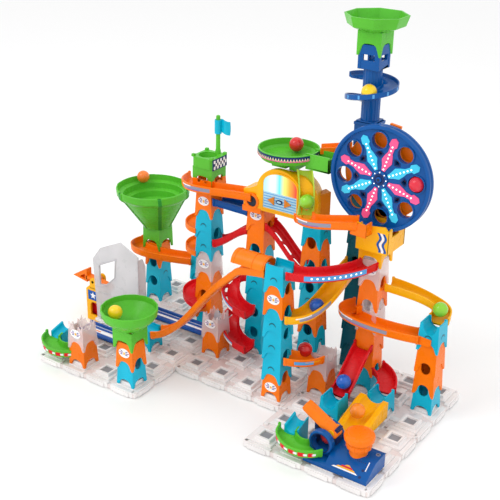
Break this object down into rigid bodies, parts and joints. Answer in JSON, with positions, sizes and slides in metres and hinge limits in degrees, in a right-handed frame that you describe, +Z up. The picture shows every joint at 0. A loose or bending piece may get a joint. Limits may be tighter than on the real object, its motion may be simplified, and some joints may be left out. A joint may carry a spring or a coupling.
{
  "type": "marble run",
  "caption": "Toy marble run: hollow tower blocks on a studded base carry slides, quarter curves, funnels, a music dome, a marble wheel and a spiral tower.",
  "frame": {"origin": "on the floor under the middle base plate, half a pitch from its corner studs", "axes": "+X to the right along the long slide, +Y to the back, +Z up from the floor"},
  "size_m": [0.4835, 0.2647, 0.408],
  "materials": {
    "clear": "gloss",
    "orange": "gloss",
    "teal": "gloss",
    "green": "gloss",
    "yellow": "gloss",
    "red": "gloss",
    "blue": "gloss",
    "grey": "gloss",
    "navy": "satin"
  },
  "bodies": {
    "frame": {"base_plate_left_front": "clear", "base_plate_left_back": "clear", "base_plate_middle": "clear", "base_plate_right_front": "clear", "base_plate_right_back": "clear", "tower_front": "teal", "tower_small_funnel": "orange", "tower_left_low": "orange", "tower_low_middle": "orange", "tower_channel_left": "teal", "tower_right": "orange", "tower_channel_front": "teal", "tower_channel_right": "teal", "tower_low_right": "orange", "tower_big_funnel": "teal", "tower_back_left": "teal", "tower_flag": "teal", "tower_dome_left": "orange", "tower_dome_right": "teal", "tower_wheel": "orange", "tower_spiral": "teal", "slide_long": "orange", "curve_red_lights": "red", "curve_yellow_middle": "yellow", "curve_orange_small": "orange", "curve_orange_right": "orange", "curve_yellow_right": "yellow", "ramp_red_straight": "red", "ramp_red_slotted": "red", "ramp_red_curved": "red", "ramp_blue": "blue", "curve_orange_flag": "orange", "curve_orange_wheel": "orange", "curve_orange_funnel": "orange", "loop_red_upper": "red", "loop_red_lower": "red", "curve_red_low": "red", "curve_green_left": "green", "curve_green_front": "green", "lane_left": "navy", "lane_back": "navy", "funnel_big": "green", "funnel_small": "green", "funnel_top": "green", "music_dome": "yellow", "dish": "green", "flag_block": "green", "flag": "teal", "wheel_housing": "yellow", "spiral_tower": "blue", "launcher_base": "blue", "scoop": "yellow", "catch_screen": "grey", "tipper_stand": "yellow"},
    "wheel": {"marble_wheel": "blue"},
    "button": {"launch_button": "orange"},
    "lever": {"launch_lever": "orange"},
    "tipper": {"tipper_lever": "orange"},
    "loose_marble_dish": {"marble_dish": "red"},
    "loose_marble_funnel": {"marble_small_funnel": "yellow"}
  },
  "joints": [
    {"name": "wheel_spin", "type": "hinge", "parent": "frame", "child": "wheel", "pos_m": [0.12708, 0.03225, 0.2545], "axis": [0, 1, 0], "continuous": true},
    {"name": "button_press", "type": "slide", "parent": "frame", "child": "button", "axis": [0, 0, -1], "range_m": [0, 0.0045], "stiffness_N_per_m": 250, "springref_m": -0.002},
    {"name": "lever_hinge", "type": "hinge", "parent": "frame", "child": "lever", "pos_m": [0.15984, -0.0945, 0.037], "axis": [0, 1, 0], "range_deg": [0, 35]},
    {"name": "tipper_hinge", "type": "hinge", "parent": "frame", "child": "tipper", "pos_m": [-0.2297, -0.0081, 0.054], "axis": [0, 1, 0], "range_deg": [0, 10]},
    {"name": "dish_marble_lift", "type": "slide", "parent": "frame", "child": "loose_marble_dish", "axis": [0, 0, 1], "range_m": [0, 0.03]},
    {"name": "funnel_marble_lift", "type": "slide", "parent": "frame", "child": "loose_marble_funnel", "axis": [0, 0, 1], "range_m": [0, 0.03]}
  ]
}
